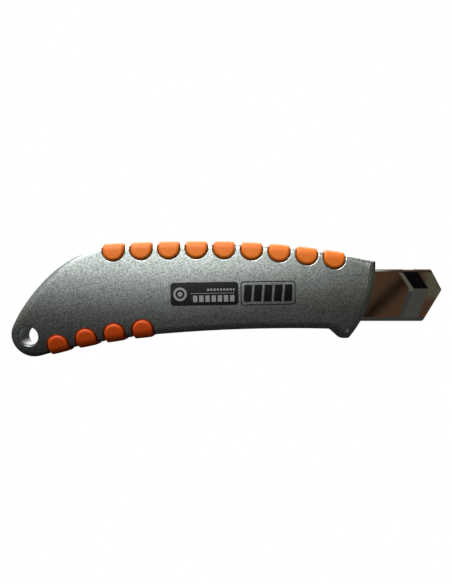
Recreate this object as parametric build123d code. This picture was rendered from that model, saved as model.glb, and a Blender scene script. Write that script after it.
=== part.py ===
from build123d import *
import os
from math import asin, cos, degrees, radians, sin, sqrt, tan

# Utility knife for 18 mm snap-off blades, with a die-cast body in two shells.
# Frame: the origin is the lanyard hole's axis on the parting plane.
# +X runs forward along the blade, +Z up to the spine, +Y to the slider side.

# ---- side outline of the body, as (X, Z) ----
APEX = (66.0, 35.15)
SPINE_FRONT = (130.95, 28.55)
SPINE_REAR = (29.0, 34.1)
SHOULDER = (22.6, 32.6)
FLANK_POINTS = [(10.4, 25.25), (1.1, 15.45)]
FLANK_END = (-6.25, 4.05)
FLANK_END_SLOPE = 63.0
TAIL_RADIUS = 8.3
TAIL_SWEEP = 133.0
BELLY_MID = (47.9, 0.6)
GUARD_ROOT = (113.9, 2.65)
GUARD_BACK = (117.8, -0.95)
GUARD_FRONT = (120.75, -0.95)
FRONT_MID = (128.75, 13.9)
ROOT_RADIUS = {GUARD_ROOT: 3.6}
CORNER_RADII = {GUARD_ROOT: 3.6, SPINE_FRONT: 1.4, GUARD_FRONT: 2.0, GUARD_BACK: 1.6}

# ---- crowned side faces ----
HALF_THICKNESS = 9.0
CROWN_RADIUS = 64.0
CROWN_Z = 16.0
TAPER_START_X = 57.5
TAPER_RADIUS = 1195.0
EDGE_RADIUS = 3.0
WALL = 2.6
CAVITY_Y = 5.0
CAVITY_REAR_X = 12.5
DEEP_CAVITY = ((24.0, 100.0), 6.0, (5.5, 25.5))
BELLY_HOLLOW_MIDS = [(75.0, 5.2), (30.0, 1.1)]
RIB_PITCH = 20
RIB_HALF_WIDTH = 0.8
SCREW_BOSS_RADIUS = 2.9
DOWEL_BOSS_RADIUS = 1.9

# ---- lanyard hole ----
HOLE_RADIUS = 3.5
HOLE_RIM = 0.6
HOLE_BOSS_RADIUS = 6.0

# ---- grip pads ----
PAD_WIDTH = 8.1
PAD_DEPTH = 6.1
PAD_PROUD = 0.8
PAD_GAP = 0.05
WINDOW_RIM = 0.6
TOP_PADS = 9
TOP_PAD_X = 31.65
TOP_PAD_PITCH = 10.45
BOTTOM_PADS = 4
BOTTOM_PAD_X = 11.3
BOTTOM_PAD_PITCH = 10.6
STRIP_HALF_WIDTH = 3.0
STRIP_DEPTH = 2.3
STRIP_END = 3.0
TOP_STRIP_POCKET = (25.0, 119.0)
BOTTOM_STRIP_POCKET = (5.0, 48.0)

# ---- blade guide ----
GUIDE_Z = 15.55
GUIDE_HEIGHT = 20.2
GUIDE_DEPTH = 3.6
SHEET = 0.8
BEND_RADIUS = 1.5
GUIDE_REAR_X = 13.5
GUIDE_CLEARANCE = 0.6
TIP_TOP = (152.3, GUIDE_Z + GUIDE_HEIGHT / 2)
TIP_APEX = (156.6, 17.5)
TIP_BOTTOM = (149.3, GUIDE_Z - GUIDE_HEIGHT / 2)
LIP_HALF_GAP = 6.5
CHEVRON_X = (144.2, 146.0, 151.6)
CHEVRON_DEPTH = 0.5
CHEVRON_Z = 17.9
CHEVRON_UP = (-4.5, 6.8)
CHEVRON_DOWN = (-4.1, -10.8)
FOLD_DIP = (141.2, 147.1, 0.5)

# ---- blade ----
BLADE_HEIGHT = 18.0
BLADE_THICKNESS = 0.5
BLADE_TAIL_X = 50.5
BLADE_TIP_X = 148.3
SNAP_ANGLE = 60.0
SNAP_PITCH = 10.0
SNAP_LINES = 8
BLADE_HOLE_X = 56.0
BLADE_HOLE_RADIUS = 3.0
BEVEL_HEIGHT = 2.2
BEVEL_DEPTH = 0.22
GROOVE_DEPTH = 0.12
BLADE_STUD_RADIUS = 1.5

# ---- carriage ----
TRAVEL = 72.0
CARRIER_X = (22.0, 62.0)
CARRIER_HALF_DEPTH = 0.85
SADDLE_X = (22.0, 54.0)
SADDLE_Z = (7.4, 24.2)
SADDLE_Y = (2.0, 5.5)
SCREW_X = (25.5, 48.4)
NECK_HALF_HEIGHT = 6.0

# ---- thumb button ----
PRESS = 0.9
STEM_X = (30.0, 46.0)
STEM_HALF_HEIGHT = 3.7
STEM_FLOOR_Y = 3.7
HEAD_X = (25.0, 51.0)
HEAD_HALF_HEIGHT = 6.6
HEAD_Y = (8.8, 11.4)
PAD_TOP_Y = 12.3
RIDGES = 7
RIDGE_PITCH = 3.0
TRACK_FLOOR_Y = 7.2
SLIDER_ROOF_Y = 5.7
SPRING_X = 38.0
SPRING_RADIUS = 2.0
SPRING_WIRE = 0.45
SPRING_Y = (2.62, 7.6)
BUTTON_PIN_X = (33.0, 43.0)
BUTTON_PIN_Y = 4.7
BUTTON_PIN_RADIUS = 0.5

# ---- lock pawl ----
PIVOT = (38.8, 3.6)
PIVOT_RADIUS = 0.6
PAWL_ARM = 7.6
PAWL_Z = (20.4, 23.2)
PAWL_Y = (3.1, 4.1)
TOOTH_X = 46.5
LEAF_PATH = [(52.2, 4.9), (48.9, 4.9), (44.6, 4.27), (43.6, 4.55)]
TOOTH_WIDTH = 1.6
TOOTH_Z = (22.3, 23.15)
TOOTH_TIP_Y = 1.25
NOTCH_PITCH = 4.0
NOTCH_WIDTH = 2.4
NOTCH_TOP_Z = 23.4
PAWL_POCKET = ((29.4, 48.6), (0, 9), (20.2, 23.45))
FINGER_POCKET = ((29.9, 32.5), (3.2, 9), (19, 20.5))
LEAF_SLOT = ((48, 52.3), (4.7, 5.1), (20.6, 23.0))

# ---- fasteners, as (X, Z) ----
SHELL_SCREWS = [(7.0, 10.5), (68.5, 28.3), (123.3, 27.4), (120.2, 2.1)]
DOWELS = [(6.5, 17.5), (56.5, 3.45)]
GUIDE_PINS = [(16.6, 10.5), (16.6, 20.5)]
SCREW_RADIUS = 1.1
SCREW_HEAD_RADIUS = 1.9
SCREW_HEAD_Y = (4.4, 6.0)
SCREW_END_Y = -4.6
SADDLE_SCREW = (1.0, 1.6)
SADDLE_SCREW_HEAD_Y = (4.3, 5.4)
DOWEL_RADIUS = 0.8
PIN_RADIUS = 1.0

FAR = 60.0


def block(x, y, z):
    """Box from its (low, high) limits along each axis."""
    size = [high - low for low, high in (x, y, z)]
    middle = [(low + high) / 2 for low, high in (x, y, z)]
    return Pos(*middle) * Box(*size)


def rod(x, z, radius, y):
    """Cylinder along Y between two heights."""
    low, high = y
    return Pos(x, (low + high) / 2, z) * Rot(90, 0, 0) * Cylinder(radius, high - low)


def rod_z(x, y, radius, z):
    """Cylinder along Z between two heights."""
    low, high = z
    return Pos(x, y, (low + high) / 2) * Cylinder(radius, high - low)


def prism(flat, y):
    """Extrude a shape drawn in (X, Z) between two heights in Y."""
    low, high = y
    return Pos(0, high, 0) * extrude(Plane.XZ * flat, high - low)


# ---- body outline and its arcs ----
SPINE_ARC_FRONT = TangentArc(APEX, SPINE_FRONT, tangent=(1, 0))
SPINE_ARC_REAR = TangentArc(APEX, SPINE_REAR, tangent=(-1, 0))
SHOULDER_ARC = TangentArc(SPINE_REAR, SHOULDER, tangent=SPINE_ARC_REAR % 1)
FLANK_HEADING = (-cos(radians(FLANK_END_SLOPE)), -sin(radians(FLANK_END_SLOPE)))
FLANK = Spline(SHOULDER, *FLANK_POINTS, FLANK_END, tangents=[SHOULDER_ARC % 1, FLANK_HEADING])
TAIL_ARC = JernArc(FLANK_END, FLANK % 1, TAIL_RADIUS, TAIL_SWEEP)
BELLY_ARC = TangentArc(TAIL_ARC @ 1, BELLY_MID, tangent=TAIL_ARC % 1)
BELLY_ARC_FRONT = TangentArc(BELLY_MID, GUARD_ROOT, tangent=BELLY_ARC % 1)


def outline(grow=0.0, corners=None):
    """Side outline of the body, grown outward or shrunk by an offset."""
    edges = [
        SPINE_ARC_FRONT, SPINE_ARC_REAR, SHOULDER_ARC, FLANK,
        TAIL_ARC, BELLY_ARC, BELLY_ARC_FRONT,
        Line(GUARD_ROOT, GUARD_BACK),
        Line(GUARD_BACK, GUARD_FRONT),
        ThreePointArc(GUARD_FRONT, FRONT_MID, SPINE_FRONT),
    ]
    face = Sketch() + make_face(Curve() + edges)
    for corner, radius in (corners or CORNER_RADII).items():
        nearest = face.vertices().sort_by_distance((*corner, 0))[0]
        face = fillet(nearest, radius)
    if grow == 0:
        return face
    return offset(face, grow, kind=Kind.INTERSECTION if grow > 0 else Kind.ARC)


def crown(grow=0.0):
    """Half space under the right-hand face: a cylinder along X that bends in toward the front."""
    radius = CROWN_RADIUS + grow
    reach = 34.0
    face_y = -(HALF_THICKNESS + grow)
    edge_y = face_y + radius - sqrt(radius**2 - reach**2)
    back_y = edge_y + 25
    arc = ThreePointArc((edge_y, -reach), (face_y, 0), (edge_y, reach))
    back = Polyline((edge_y, reach), (back_y, reach), (back_y, -reach), (edge_y, -reach))
    section = Plane.YZ * (Sketch() + make_face(Curve() + [arc, back]))
    section = Pos(TAPER_START_X, 0, CROWN_Z) * section
    rear = extrude(section, -85)
    axis = Axis((TAPER_START_X, face_y + TAPER_RADIUS + grow, 0), (0, 0, 1))
    front = revolve(section, axis, degrees(85 / TAPER_RADIUS))
    return rear + front


def is_rim(edge):
    """True for an edge where the crowned face meets the side wall."""
    box = edge.bounding_box()
    seam = box.size.X < 0.01 and box.size.Z > 5
    return box.max.Y < -0.5 and not seam


def right_half(grow=0.0, edge=EDGE_RADIUS):
    """Solid right-hand half of the body, with its outer edge rounded."""
    solid = prism(outline(grow, ROOT_RADIUS), (-16, 0)) & crown(grow)
    if edge:
        solid = fillet(solid.edges().filter_by(is_rim), edge)
    return solid & prism(outline(grow), (-16, 0))


# ---- grip pads ----
def arc_point(arc, x):
    """Height and slope (degrees) at one X of an outline arc whose centre lies below it."""
    centre = arc.arc_center
    run = x - centre.X
    return centre.Y + sqrt(arc.radius**2 - run**2), -degrees(asin(run / arc.radius))


def pad_places():
    """Place and turn of each pad's mouth on the outline, as (X, Z, degrees): (top, bottom)."""
    top = []
    for i in range(TOP_PADS):
        x = TOP_PAD_X + i * TOP_PAD_PITCH
        z, slope = arc_point(SPINE_ARC_REAR if x < APEX[0] else SPINE_ARC_FRONT, x)
        top.append((x, z, slope))
    bottom = []
    for i in range(BOTTOM_PADS):
        x = BOTTOM_PAD_X + i * BOTTOM_PAD_PITCH
        z, slope = arc_point(BELLY_ARC, x)
        bottom.append((x, z, slope + 180))
    return top, bottom


def pad_shape(place, width):
    """D shape of one pad in (X, Z): open past the outline, round at its inner end."""
    x, z, turn = place
    radius = width / 2
    round_depth = PAD_DEPTH - PAD_WIDTH / 2
    straight = Pos(0, (3 - round_depth) / 2) * Rectangle(width, 3 + round_depth)
    return Pos(x, z) * Rot(0, 0, turn) * (straight + Pos(0, -round_depth) * Circle(radius))


def guide_keepout(margin):
    """Space around the channel that the grips stay out of."""
    z = (GUIDE_Z - GUIDE_HEIGHT / 2 - margin, GUIDE_Z + GUIDE_HEIGHT / 2 + margin)
    return block((-20, 160), (-2.8, 2.8), z)


def strip(low_x, high_x, top):
    """Hidden bar that joins the pads, just inside the shells' wall."""
    z = (20, 50) if top else (-20, 10)
    ring = outline(-WALL - 0.1) - outline(-WALL - STRIP_DEPTH)
    ring = prism(ring, (-STRIP_HALF_WIDTH, STRIP_HALF_WIDTH))
    return ring & block((low_x, high_x), (-9, 9), z)


def grip(places, top, grown):
    """One rubber strip with its pads."""
    pads = Part()
    for place in places:
        pads += prism(pad_shape(place, PAD_WIDTH), (-14, 14)) & grown
    solid = pads + strip(places[0][0] - STRIP_END, places[-1][0] + STRIP_END, top)
    solid -= guide_keepout(GUIDE_CLEARANCE)
    if not top:
        solid -= rod(0, 0, HOLE_BOSS_RADIUS + 0.2, (-12, 12))
    return solid


# ---- shells ----
def hole_and_rim(solid):
    """Cut the lanyard hole and round its rim."""
    solid -= rod(0, 0, HOLE_RADIUS, (-12, 12))
    return fillet(solid.edges().filter_by(is_hole_rim), HOLE_RIM)


def is_hole_rim(edge):
    """True for the edge where the lanyard hole meets the crowned face."""
    box = edge.bounding_box()
    middle = box.center()
    centred = abs(middle.X) < 0.5 and abs(middle.Z) < 0.5 and abs(middle.Y) > 3
    return centred and box.size.X > 1.9 * HOLE_RADIUS


def cavity_outline():
    """Outline of the hollow inside the shells, about one wall inside the body's outline."""
    low_rear = (CAVITY_REAR_X, -2.8)
    high_rear = (CAVITY_REAR_X, 24.0)
    shoulder = (SHOULDER[0], SHOULDER[1] - WALL - 0.4)
    apex = (APEX[0], APEX[1] - WALL)
    front_top = (SPINE_FRONT[0] - WALL - 0.8, SPINE_FRONT[1] - WALL + 0.6)
    front_mid = (FRONT_MID[0] - WALL, FRONT_MID[1])
    front_low = (GUARD_FRONT[0] - 0.9, GUARD_FRONT[1] + WALL + 0.3)
    guard = (GUARD_BACK[0] - 0.6, front_low[1])
    root = (GUARD_ROOT[0] - 0.4, GUARD_ROOT[1] + WALL)
    belly = (BELLY_MID[0], BELLY_MID[1] + WALL)
    edges = [
        Line(low_rear, high_rear), Line(high_rear, shoulder),
        ThreePointArc(shoulder, apex, front_top),
        ThreePointArc(front_top, front_mid, front_low),
        Line(front_low, guard), Line(guard, root),
        ThreePointArc(root, BELLY_HOLLOW_MIDS[0], belly),
        ThreePointArc(belly, BELLY_HOLLOW_MIDS[1], low_rear),
    ]
    return Sketch() + make_face(Curve() + edges)


def cavity():
    """Hollow inside the right-hand half, with a deeper middle."""
    x, depth, z = DEEP_CAVITY
    return prism(cavity_outline(), (-CAVITY_Y, 0)) + block(x, (-depth, 0), z)


def ribs(inner):
    """Cross ribs inside a shell that carry the channel, and bosses for the fasteners."""
    solid = Part()
    for x in range(24, 125, RIB_PITCH):
        solid += block((x - RIB_HALF_WIDTH, x + RIB_HALF_WIDTH), (-10, 10), (-12, 40))
    for x, z in SHELL_SCREWS + GUIDE_PINS:
        solid += rod(x, z, SCREW_BOSS_RADIUS, (-10, 10))
    for x, z in DOWELS:
        solid += rod(x, z, DOWEL_BOSS_RADIUS, (-10, 10))
    solid += rod(0, 0, HOLE_BOSS_RADIUS, (-10, 10))
    return solid & inner


def guide_section(clear=0.0, depth=GUIDE_DEPTH, height=GUIDE_HEIGHT, radius=BEND_RADIUS):
    """Cross-section of the channel's envelope in (Y, Z)."""
    return RectangleRounded(depth + 2 * clear, height + 2 * clear, radius + clear)


def along_x(section, x):
    """Extrude a section drawn in (Y, Z) between two places in X, at the channel's height."""
    low, high = x
    return Pos(low, 0, GUIDE_Z) * extrude(Plane.YZ * section, high - low)


def guide_pocket():
    """Space that the channel takes up in the shells."""
    return along_x(guide_section(), (GUIDE_REAR_X, 170))


def windowed_half(top, bottom):
    """Right-hand half of the body, still solid inside, with the pad windows and their rounded lips."""
    solid = right_half() - pad_clearance(top + bottom)
    for place in top + bottom:
        solid = fillet([e for e in solid.edges() if is_lip(e, place)], WINDOW_RIM)
    return hole_and_rim(solid)


def is_lip(edge, place):
    """True for an edge between this window and the outside of a solid half body."""
    x, z, turn = place
    box = edge.bounding_box()
    middle = box.center()
    inward = Vector(sin(radians(turn)), -cos(radians(turn)))
    depth = Vector(middle.X - x, middle.Z - z).dot(inward)
    across = abs(Vector(middle.X - x, middle.Z - z).cross(Vector(inward.X, inward.Y)).Z)
    on_wall = abs(depth) < 0.6 and box.size.Y > 1 and middle.Y < -1
    on_face = middle.Y < -4 and depth > -0.6
    return across < PAD_WIDTH / 2 + 0.2 and depth < PAD_DEPTH and (on_wall or on_face)


def hollow(half, inner):
    """Empty a half body, leave ribs and bosses, and cut it for the channel, the strips and the hole."""
    solid = half - inner + (ribs(inner) - guide_pocket())
    solid -= guide_pocket()
    solid -= rod(0, 0, HOLE_RADIUS, (-12, 12))
    solid -= strip(*BOTTOM_STRIP_POCKET, False)
    return solid - strip(*TOP_STRIP_POCKET, True)


def pad_clearance(places):
    """Room for the pads where they cross the ribs and the channel's shoulders."""
    cut = Part()
    for place in places:
        cut += prism(pad_shape(place, PAD_WIDTH + 2 * PAD_GAP), (-14, 14))
    return cut


def biggest(shape):
    """The largest solid of a shape, without crumbs left over from cutting."""
    return shape.solids().sort_by(SortBy.VOLUME)[-1]


def make_right_shell(half, top, bottom):
    solid = hollow(half, cavity()) - pad_clearance(top + bottom)
    for x, z in SHELL_SCREWS:
        solid -= rod(x, z, SCREW_RADIUS, (SCREW_END_Y, 1))
    for x, z in DOWELS:
        solid -= rod(x, z, DOWEL_RADIUS, (-4, 1))
    for x, z in GUIDE_PINS:
        solid -= rod(x, z, PIN_RADIUS, (-5, 1))
    return biggest(solid)


def long_slot(low_x, high_x, half_height, radius):
    """Rounded slot shape in (X, Z) at the channel's height."""
    middle = ((low_x + high_x) / 2, GUIDE_Z)
    return Pos(*middle) * RectangleRounded(high_x - low_x, 2 * half_height, radius)


def make_left_shell(half, top, bottom):
    inner = mirror(cavity(), about=Plane.XZ) & block((-20, 160), (0, SLIDER_ROOF_Y), (-20, 50))
    solid = hollow(mirror(half, about=Plane.XZ), inner) - pad_clearance(top + bottom)
    solid -= block((21, 127.3), (-1, SLIDER_ROOF_Y), (7.1, 24.5))
    track = long_slot(HEAD_X[0] - 1.0, HEAD_X[1] + TRAVEL + 1.0, HEAD_HALF_HEIGHT + 0.7, 4.0)
    solid -= prism(track, (TRACK_FLOOR_Y, 12))
    slot = long_slot(STEM_X[0] - 0.5, STEM_X[1] + TRAVEL + 0.5, STEM_HALF_HEIGHT + 0.5, 1.5)
    solid -= prism(slot, (1, 12))
    for x, z in SHELL_SCREWS:
        solid += rod(x, z, SCREW_BOSS_RADIUS, (SCREW_HEAD_Y[0] - 1.6, SCREW_HEAD_Y[0]))
        solid -= rod(x, z, SCREW_RADIUS + 0.15, (-1, 12))
        solid -= rod(x, z, SCREW_HEAD_RADIUS + 0.15, (SCREW_HEAD_Y[0], 12))
    for x, z in DOWELS:
        solid -= rod(x, z, DOWEL_RADIUS, (-1, 4))
    for x, z in GUIDE_PINS:
        solid -= rod(x, z, PIN_RADIUS, (-1, 5))
    return biggest(solid)


# ---- blade guide ----
def chevron_prism(section):
    """Carry a section of the chevron, drawn in (X, Y) at its bend, up and down along its two legs."""
    face = (Pos(0, 0, CHEVRON_Z) * section).face()
    top_z = GUIDE_Z + GUIDE_HEIGHT / 2 - BEND_RADIUS
    bottom_z = GUIDE_Z - GUIDE_HEIGHT / 2 + BEND_RADIUS
    up = Vector(CHEVRON_UP[0], 0, CHEVRON_UP[1])
    down = Vector(CHEVRON_DOWN[0], 0, CHEVRON_DOWN[1])
    rise = up * ((top_z - CHEVRON_Z) / up.Z)
    fall = down * ((bottom_z - CHEVRON_Z) / down.Z)
    return sheared(face, rise) + sheared(face, fall)


def sheared(face, run):
    """Extrude a face along a slanted run."""
    return extrude(face, run.length, dir=run)


def make_blade_guide():
    inner_depth = GUIDE_DEPTH - 2 * SHEET
    inner_height = GUIDE_HEIGHT - 2 * SHEET
    inner = guide_section(0, inner_depth, inner_height, BEND_RADIUS - SHEET)
    span = (GUIDE_REAR_X, 160)
    solid = along_x(guide_section(), span) - along_x(inner, span)
    window_z = (GUIDE_Z - LIP_HALF_GAP, GUIDE_Z + LIP_HALF_GAP)
    solid -= block((0, 170), (0.2, 3), window_z)
    outer_y = -GUIDE_DEPTH / 2
    inner_y = outer_y + SHEET
    first, deep, last = CHEVRON_X
    flat_part = Polyline((first, outer_y - 1), (first, 0.4), (last, 0.4), (last, outer_y - 1), close=True)
    bent = Polyline(
        (first, outer_y), (deep, outer_y + CHEVRON_DEPTH), (last, outer_y),
        (last, inner_y), (deep, inner_y + CHEVRON_DEPTH), (first, inner_y), close=True,
    )
    solid -= chevron_prism(make_face(flat_part))
    solid += chevron_prism(make_face(bent))
    low_x, high_x, dip = FOLD_DIP
    top_z = GUIDE_Z + GUIDE_HEIGHT / 2
    ramp = 0.8
    valley = Polyline((low_x, top_z), (low_x + ramp, top_z - dip), (high_x - ramp, top_z - dip),
                      (high_x, top_z), (high_x, top_z + 1), (low_x, top_z + 1), close=True)
    solid -= prism(make_face(valley), (-3, 3))
    for i in range(int(TRAVEL / NOTCH_PITCH) + 1):
        middle = TOOTH_X + 0.12 + i * NOTCH_PITCH
        x = (middle - NOTCH_WIDTH / 2, middle + NOTCH_WIDTH / 2)
        solid -= block(x, (0.9, 3), (window_z[1] - 0.5, NOTCH_TOP_Z))
    for x, z in GUIDE_PINS:
        solid -= rod(x, z, PIN_RADIUS + 0.02, (-3, 3))
    tip = Polyline((0, TIP_TOP[1]), TIP_TOP, TIP_APEX, TIP_BOTTOM, (0, TIP_BOTTOM[1]), close=True)
    tip = Sketch() + make_face(tip)
    for corner, radius in ((TIP_TOP, 0.6), (TIP_APEX, 0.9), (TIP_BOTTOM, 0.6)):
        tip = fillet(tip.vertices().sort_by_distance((*corner, 0))[0], radius)
    return solid & prism(tip, (-3, 3))


# ---- blade and carriage ----
def make_snap_blade():
    low_z = GUIDE_Z - BLADE_HEIGHT / 2
    high_z = GUIDE_Z + BLADE_HEIGHT / 2
    lean = BLADE_HEIGHT / tan(radians(SNAP_ANGLE))
    half = BLADE_THICKNESS / 2
    shape = Polyline((BLADE_TAIL_X, low_z), (BLADE_TIP_X, low_z), (BLADE_TIP_X - lean, high_z),
                     (BLADE_TAIL_X, high_z), close=True)
    solid = prism(make_face(shape), (-half, half))
    bevel_z = low_z + BEVEL_HEIGHT
    corners = [(half - BEVEL_DEPTH, low_z), (half + 1, low_z), (half + 1, bevel_z), (half, bevel_z)]
    for side in (1, -1):
        bevel = make_face(Polyline(*[(side * y, z) for y, z in corners], close=True))
        solid -= Pos(BLADE_TAIL_X - 1, 0, 0) * extrude(Plane.YZ * bevel, 120)
    groove_side = GROOVE_DEPTH * sqrt(2)
    for i in range(1, SNAP_LINES + 1):
        foot = Vector(BLADE_TIP_X - i * SNAP_PITCH, 0, low_z)
        groove = Pos(foot.X, half, foot.Z) * Rot(0, SNAP_ANGLE - 180, 0) * Rot(45, 0, 0)
        solid -= groove * Box(60, groove_side, groove_side)
    solid -= rod(BLADE_HOLE_X, GUIDE_Z, BLADE_HOLE_RADIUS, (-2, 2))
    return solid


def make_blade_carrier():
    half_height = GUIDE_HEIGHT / 2 - SHEET - 0.4
    z = (GUIDE_Z - half_height, GUIDE_Z + half_height)
    y = (-CARRIER_HALF_DEPTH, CARRIER_HALF_DEPTH)
    solid = block(CARRIER_X, y, z)
    solid -= block((BLADE_TAIL_X - 0.1, 80), (-BLADE_THICKNESS / 2 - 0.05, 3), (0, 40))
    neck_z = (GUIDE_Z - NECK_HALF_HEIGHT, GUIDE_Z + NECK_HALF_HEIGHT)
    solid += block((CARRIER_X[0] + 1, BLADE_TAIL_X - 0.5), (y[1], SADDLE_Y[0]), neck_z)
    for x in SCREW_X:
        solid -= rod(x, GUIDE_Z, SADDLE_SCREW[0], (-0.6, 5))
    return solid - rod(BLADE_HOLE_X, GUIDE_Z, BLADE_STUD_RADIUS, (-2, 2))


def make_blade_stud():
    tongue = (-CARRIER_HALF_DEPTH, -BLADE_THICKNESS / 2 - 0.05)
    head = (tongue[1], 0.6)
    stud = rod(BLADE_HOLE_X, GUIDE_Z, BLADE_STUD_RADIUS, tongue)
    return stud + rod(BLADE_HOLE_X, GUIDE_Z, BLADE_HOLE_RADIUS - 0.2, head)


def make_slide_saddle():
    solid = block(SADDLE_X, SADDLE_Y, SADDLE_Z)
    solid = fillet(solid.edges().filter_by(Axis.Z), 0.6)
    stem_z = (GUIDE_Z - STEM_HALF_HEIGHT - 0.25, GUIDE_Z + STEM_HALF_HEIGHT + 0.25)
    solid -= block((STEM_X[0] - 0.3, STEM_X[1] + 0.3), (SPRING_Y[0] - 0.02, 9), stem_z)
    solid -= block(*PAWL_POCKET)
    solid -= block(*FINGER_POCKET)
    solid -= rod_z(PIVOT[0], PIVOT[1], PIVOT_RADIUS, (19.3, 25))
    solid -= block(*LEAF_SLOT)
    for x in BUTTON_PIN_X:
        solid -= rod_z(x, BUTTON_PIN_Y, BUTTON_PIN_RADIUS, (9.0, 20.15))
    for x in SCREW_X:
        solid -= rod(x, GUIDE_Z, SADDLE_SCREW[0] + 0.1, (0, 9))
        solid -= rod(x, GUIDE_Z, SADDLE_SCREW[1] + 0.1, (SADDLE_SCREW_HEAD_Y[0], 9))
    return solid


def screw(x, z, radius, head_radius, end_y, head_y):
    """Cheese-head screw along Y with a straight slot."""
    head = rod(x, z, head_radius, head_y) + rod(x, z, radius, (end_y, head_y[0]))
    return head - block((x - 3, x + 3), (head_y[1] - 0.5, 9), (z - 0.3, z + 0.3))


def make_thumb_button():
    z = (GUIDE_Z - STEM_HALF_HEIGHT, GUIDE_Z + STEM_HALF_HEIGHT)
    stem = block(STEM_X, (STEM_FLOOR_Y, HEAD_Y[0] + 1), z)
    stem = fillet(stem.edges().filter_by(Axis.Y), 1.0)
    head = prism(long_slot(*HEAD_X, HEAD_HALF_HEIGHT, 3.4), HEAD_Y)
    outer = head.faces().sort_by(Axis.Y)[-1]
    head = fillet(outer.edges(), 1.0)
    finger = block((30.6, 31.8), (4.25, 5.1), (z[1] - 1.5, 22.8))
    solid = stem + head + finger
    solid -= rod(SPRING_X, GUIDE_Z, SPRING_RADIUS + SPRING_WIRE + 0.25, (0, SPRING_Y[1]))
    for x in BUTTON_PIN_X:
        radius = BUTTON_PIN_RADIUS + 0.05
        slot_y = (BUTTON_PIN_Y - radius, BUTTON_PIN_Y + PRESS + radius + 0.05)
        solid -= block((x - radius, x + radius), slot_y, (0, 30))
    return solid


def make_button_pad():
    solid = prism(long_slot(HEAD_X[0] + 2, HEAD_X[1] - 2, HEAD_HALF_HEIGHT - 1.6, 2.6),
                  (HEAD_Y[1] - 0.6, HEAD_Y[1] + 0.3))
    for i in range(RIDGES):
        x = HEAD_X[0] + 4.0 + i * RIDGE_PITCH
        ridge = block((x - 0.8, x + 0.8), (HEAD_Y[1], PAD_TOP_Y), (GUIDE_Z - 4.2, GUIDE_Z + 4.2))
        solid += fillet(ridge.edges().filter_by(Axis.Z).filter_by(lambda e: e.center().Y > 11.8), 0.6)
    return solid


def pad_recess():
    """Seat for the rubber pad in the button's head."""
    return prism(long_slot(HEAD_X[0] + 2, HEAD_X[1] - 2, HEAD_HALF_HEIGHT - 1.6, 2.6),
                 (HEAD_Y[1] - 0.6, HEAD_Y[1] + 1))


def make_button_spring():
    length = SPRING_Y[1] - SPRING_Y[0] - SPRING_WIRE
    turns = 4.0
    path = Helix(length / turns, length, SPRING_RADIUS)
    start = Plane(path @ 0, z_dir=path % 0)
    coil = sweep(start * Circle(SPRING_WIRE / 2), path, is_frenet=True)
    return Pos(SPRING_X, SPRING_Y[0] + SPRING_WIRE / 2, GUIDE_Z) * Rot(-90, 0, 0) * coil


def make_button_pins():
    pins = [rod_z(x, BUTTON_PIN_Y, BUTTON_PIN_RADIUS, (9.2, 20.1)) for x in BUTTON_PIN_X]
    return Compound(children=pins)


def make_lock_pawl():
    low_z, high_z = PAWL_Z
    bar = block((30.4, TOOTH_X + 1.2), PAWL_Y, PAWL_Z)
    hub = rod_z(PIVOT[0], PIVOT[1], 1.05, PAWL_Z)
    tooth = block((TOOTH_X - TOOTH_WIDTH / 2, TOOTH_X + TOOTH_WIDTH / 2), (TOOTH_TIP_Y, PAWL_Y[1]), TOOTH_Z)
    return bar + hub + tooth - rod_z(PIVOT[0], PIVOT[1], PIVOT_RADIUS + 0.05, (low_z - 1, high_z + 1))


def make_pawl_pivot_pin():
    return rod_z(PIVOT[0], PIVOT[1], PIVOT_RADIUS, (19.55, SADDLE_Z[1]))


def make_pawl_spring():
    """Leaf from a slot in the saddle to the top of the pawl's front arm."""
    leaf = trace(Polyline(*LEAF_PATH), 0.22)
    return Pos(0, 0, PAWL_Z[0] + 0.3) * extrude(leaf, 2.2)


PARTS = "parts"


def main():
    os.makedirs(PARTS, exist_ok=True)
    top, bottom = pad_places()
    half = windowed_half(top, bottom)
    grown = right_half(PAD_PROUD, EDGE_RADIUS + PAD_PROUD)
    grown += mirror(grown, about=Plane.XZ)
    screws = [screw(x, z, SCREW_RADIUS, SCREW_HEAD_RADIUS, SCREW_END_Y + 0.3, SCREW_HEAD_Y)
              for x, z in SHELL_SCREWS]
    saddle_screws = [screw(x, GUIDE_Z, *SADDLE_SCREW, -0.55, SADDLE_SCREW_HEAD_Y) for x in SCREW_X]
    nodes = {
        "right_shell": make_right_shell(half, top, bottom),
        "left_shell": make_left_shell(half, top, bottom),
        "top_grip": grip(top, True, grown),
        "bottom_grip": grip(bottom, False, grown),
        "blade_guide": make_blade_guide(),
        "snap_blade": make_snap_blade(),
        "blade_carrier": make_blade_carrier(),
        "blade_stud": make_blade_stud(),
        "slide_saddle": make_slide_saddle(),
        "saddle_screws": Compound(children=saddle_screws),
        "thumb_button": make_thumb_button() - pad_recess(),
        "button_pad": make_button_pad(),
        "button_spring": make_button_spring(),
        "button_pins": make_button_pins(),
        "lock_pawl": make_lock_pawl(),
        "pawl_pivot_pin": make_pawl_pivot_pin(),
        "pawl_spring": make_pawl_spring(),
        "shell_screws": Compound(children=screws),
        "dowel_pins": Compound(children=[rod(x, z, DOWEL_RADIUS, (-3.8, 3.8)) for x, z in DOWELS]),
        "guide_pins": Compound(children=[rod(x, z, PIN_RADIUS, (-4.8, 4.8)) for x, z in GUIDE_PINS]),
    }
    for name, solid in nodes.items():
        export_step(solid, f"{PARTS}/{name}.step")
        print(name, len(solid.solids()), round(solid.volume, 2), "valid" if solid.is_valid else "INVALID")


if __name__ == "__main__":
    main()
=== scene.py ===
from math import cos, pi, radians, sin

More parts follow.
